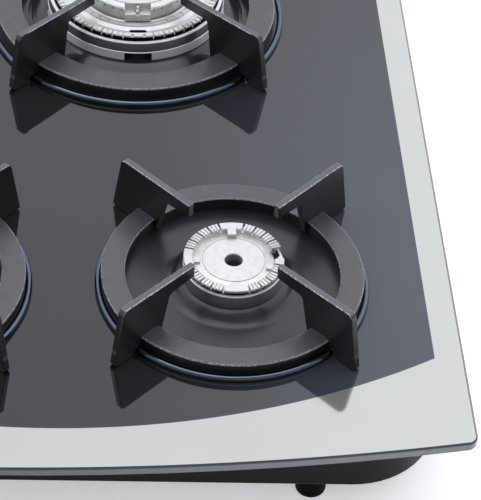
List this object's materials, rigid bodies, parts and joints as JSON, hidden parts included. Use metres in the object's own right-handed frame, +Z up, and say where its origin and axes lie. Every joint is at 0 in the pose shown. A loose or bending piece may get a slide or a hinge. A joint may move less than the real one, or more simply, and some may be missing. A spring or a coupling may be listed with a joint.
{
  "type": "gas cooktop",
  "caption": "Built-in gas cooktop: bowed tempered glass sheet with a central wok burner, corner burners, cast iron pan supports over round drip pans and front rotary knobs.",
  "frame": {"origin": "on the surface the feet stand on, under the middle of the glass sheet", "axes": "+X to the user's right, +Y to the back, +Z up"},
  "size_m": [0.9078, 0.508, 0.1227],
  "materials": {
    "glass_print": "polished tempered glass over a black and silver print",
    "foam": "soft closed-cell foam",
    "box_paint": "black semi-gloss coat on pressed steel",
    "rubber": "matte",
    "galvanised": "zinc coated sheet",
    "enamel": "satin vitreous enamel",
    "iron": "satin black enamel on cast iron",
    "cup_metal": "machined and polished",
    "crown_metal": "bright fine blasted casting",
    "knob_coat": "satin",
    "brass": "machined",
    "valve_metal": "die cast",
    "tube_metal": "drawn tube",
    "pipe_steel": "zinc plated",
    "ceramic": "glazed ceramic with steel tips",
    "wire": "silicone sleeve",
    "module_case": "moulded",
    "cell_can": "plain can",
    "screw_steel": "zinc plated"
  },
  "bodies": {
    "hob": {"glass_panel": "glass_print", "worktop_seal": "foam", "burner_box": "box_paint", "rubber_feet": "rubber", "box_screws": "screw_steel", "bridge_left": "galvanised", "bridge_centre": "galvanised", "bridge_right": "galvanised", "valve_bracket": "galvanised", "gas_rail": "pipe_steel", "inlet_pipe": "pipe_steel", "inlet_elbow": "brass", "valve_bodies": "valve_metal", "valve_bonnets": "galvanised", "knob_seals": "rubber", "feed_tubes": "tube_metal", "ignition_leads": "wire", "electrodes": "ceramic", "burner_jets": "brass", "ignition_module": "module_case", "battery_holder": "module_case", "battery_cell": "cell_can", "drip_pan_front_right": "enamel", "burner_cup_front_right": "cup_metal", "drip_pan_rear_right": "enamel", "burner_cup_rear_right": "cup_metal", "drip_pan_front_left": "enamel", "burner_cup_front_left": "cup_metal", "drip_pan_rear_left": "enamel", "burner_cup_rear_left": "cup_metal", "drip_pan_wok": "enamel", "burner_cup_wok": "cup_metal"},
    "valve_plug_front_left": {"valve_plug_front_left": "brass"},
    "knob_front_left": {"knob_front_left": "knob_coat", "valve_stem_front_left": "brass"},
    "valve_plug_rear_left": {"valve_plug_rear_left": "brass"},
    "knob_rear_left": {"knob_rear_left": "knob_coat", "valve_stem_rear_left": "brass"},
    "valve_plug_wok": {"valve_plug_wok": "brass"},
    "knob_wok": {"knob_wok": "knob_coat", "valve_stem_wok": "brass"},
    "valve_plug_rear_right": {"valve_plug_rear_right": "brass"},
    "knob_rear_right": {"knob_rear_right": "knob_coat", "valve_stem_rear_right": "brass"},
    "valve_plug_front_right": {"valve_plug_front_right": "brass"},
    "knob_front_right": {"knob_front_right": "knob_coat", "valve_stem_front_right": "brass"},
    "pan_support_front_right": {"pan_support_front_right": "iron"},
    "burner_crown_front_right": {"burner_crown_front_right": "crown_metal"},
    "pan_support_rear_right": {"pan_support_rear_right": "iron"},
    "burner_crown_rear_right": {"burner_crown_rear_right": "crown_metal"},
    "pan_support_front_left": {"pan_support_front_left": "iron"},
    "burner_crown_front_left": {"burner_crown_front_left": "crown_metal"},
    "pan_support_rear_left": {"pan_support_rear_left": "iron"},
    "burner_crown_rear_left": {"burner_crown_rear_left": "crown_metal"},
    "pan_support_wok": {"pan_support_wok": "iron"},
    "wok_outer_crown": {"wok_outer_crown": "crown_metal"},
    "wok_inner_crown": {"wok_inner_crown": "crown_metal"},
    "battery_cover": {"battery_cover": "module_case"}
  },
  "joints": [
    {"name": "knob_turn_front_left", "type": "hinge", "parent": "hob", "child": "valve_plug_front_left", "pos_m": [-0.128, -0.195, 0.05], "axis": [0, 0, 1], "range_deg": [0, 210]},
    {"name": "knob_press_front_left", "type": "slide", "parent": "valve_plug_front_left", "child": "knob_front_left", "axis": [0, 0, -1], "range_m": [0, 0.0035], "stiffness_N_per_m": 1500, "springref_m": -0.002},
    {"name": "knob_turn_rear_left", "type": "hinge", "parent": "hob", "child": "valve_plug_rear_left", "pos_m": [-0.064, -0.195, 0.05], "axis": [0, 0, 1], "range_deg": [0, 210]},
    {"name": "knob_press_rear_left", "type": "slide", "parent": "valve_plug_rear_left", "child": "knob_rear_left", "axis": [0, 0, -1], "range_m": [0, 0.0035], "stiffness_N_per_m": 1500, "springref_m": -0.002},
    {"name": "knob_turn_wok", "type": "hinge", "parent": "hob", "child": "valve_plug_wok", "pos_m": [0, -0.195, 0.05], "axis": [0, 0, 1], "range_deg": [0, 210]},
    {"name": "knob_press_wok", "type": "slide", "parent": "valve_plug_wok", "child": "knob_wok", "axis": [0, 0, -1], "range_m": [0, 0.0035], "stiffness_N_per_m": 1500, "springref_m": -0.002},
    {"name": "knob_turn_rear_right", "type": "hinge", "parent": "hob", "child": "valve_plug_rear_right", "pos_m": [0.064, -0.195, 0.05], "axis": [0, 0, 1], "range_deg": [0, 210]},
    {"name": "knob_press_rear_right", "type": "slide", "parent": "valve_plug_rear_right", "child": "knob_rear_right", "axis": [0, 0, -1], "range_m": [0, 0.0035], "stiffness_N_per_m": 1500, "springref_m": -0.002},
    {"name": "knob_turn_front_right", "type": "hinge", "parent": "hob", "child": "valve_plug_front_right", "pos_m": [0.128, -0.195, 0.05], "axis": [0, 0, 1], "range_deg": [0, 210]},
    {"name": "knob_press_front_right", "type": "slide", "parent": "valve_plug_front_right", "child": "knob_front_right", "axis": [0, 0, -1], "range_m": [0, 0.0035], "stiffness_N_per_m": 1500, "springref_m": -0.002},
    {"name": "pan_support_lift_front_right", "type": "slide", "parent": "hob", "child": "pan_support_front_right", "axis": [0, 0, 1], "range_m": [0, 0.08]},
    {"name": "burner_crown_lift_front_right", "type": "slide", "parent": "hob", "child": "burner_crown_front_right", "axis": [0, 0, 1], "range_m": [0, 0.05]},
    {"name": "pan_support_lift_rear_right", "type": "slide", "parent": "hob", "child": "pan_support_rear_right", "axis": [0, 0, 1], "range_m": [0, 0.08]},
    {"name": "burner_crown_lift_rear_right", "type": "slide", "parent": "hob", "child": "burner_crown_rear_right", "axis": [0, 0, 1], "range_m": [0, 0.05]},
    {"name": "pan_support_lift_front_left", "type": "slide", "parent": "hob", "child": "pan_support_front_left", "axis": [0, 0, 1], "range_m": [0, 0.08]},
    {"name": "burner_crown_lift_front_left", "type": "slide", "parent": "hob", "child": "burner_crown_front_left", "axis": [0, 0, 1], "range_m": [0, 0.05]},
    {"name": "pan_support_lift_rear_left", "type": "slide", "parent": "hob", "child": "pan_support_rear_left", "axis": [0, 0, 1], "range_m": [0, 0.08]},
    {"name": "burner_crown_lift_rear_left", "type": "slide", "parent": "hob", "child": "burner_crown_rear_left", "axis": [0, 0, 1], "range_m": [0, 0.05]},
    {"name": "pan_support_lift_wok", "type": "slide", "parent": "hob", "child": "pan_support_wok", "axis": [0, 0, 1], "range_m": [0, 0.08]},
    {"name": "wok_outer_crown_lift", "type": "slide", "parent": "hob", "child": "wok_outer_crown", "axis": [0, 0, 1], "range_m": [0, 0.036]},
    {"name": "wok_inner_crown_lift", "type": "slide", "parent": "hob", "child": "wok_inner_crown", "axis": [0, 0, 1], "range_m": [0, 0.05]},
    {"name": "battery_cover_slide", "type": "slide", "parent": "hob", "child": "battery_cover", "axis": [-1, 0, 0], "range_m": [0, 0.06]}
  ],
  "couplings": [
    {"joint": "wok_outer_crown_lift", "follows": "pan_support_lift_wok", "ratio": 0.45}
  ]
}
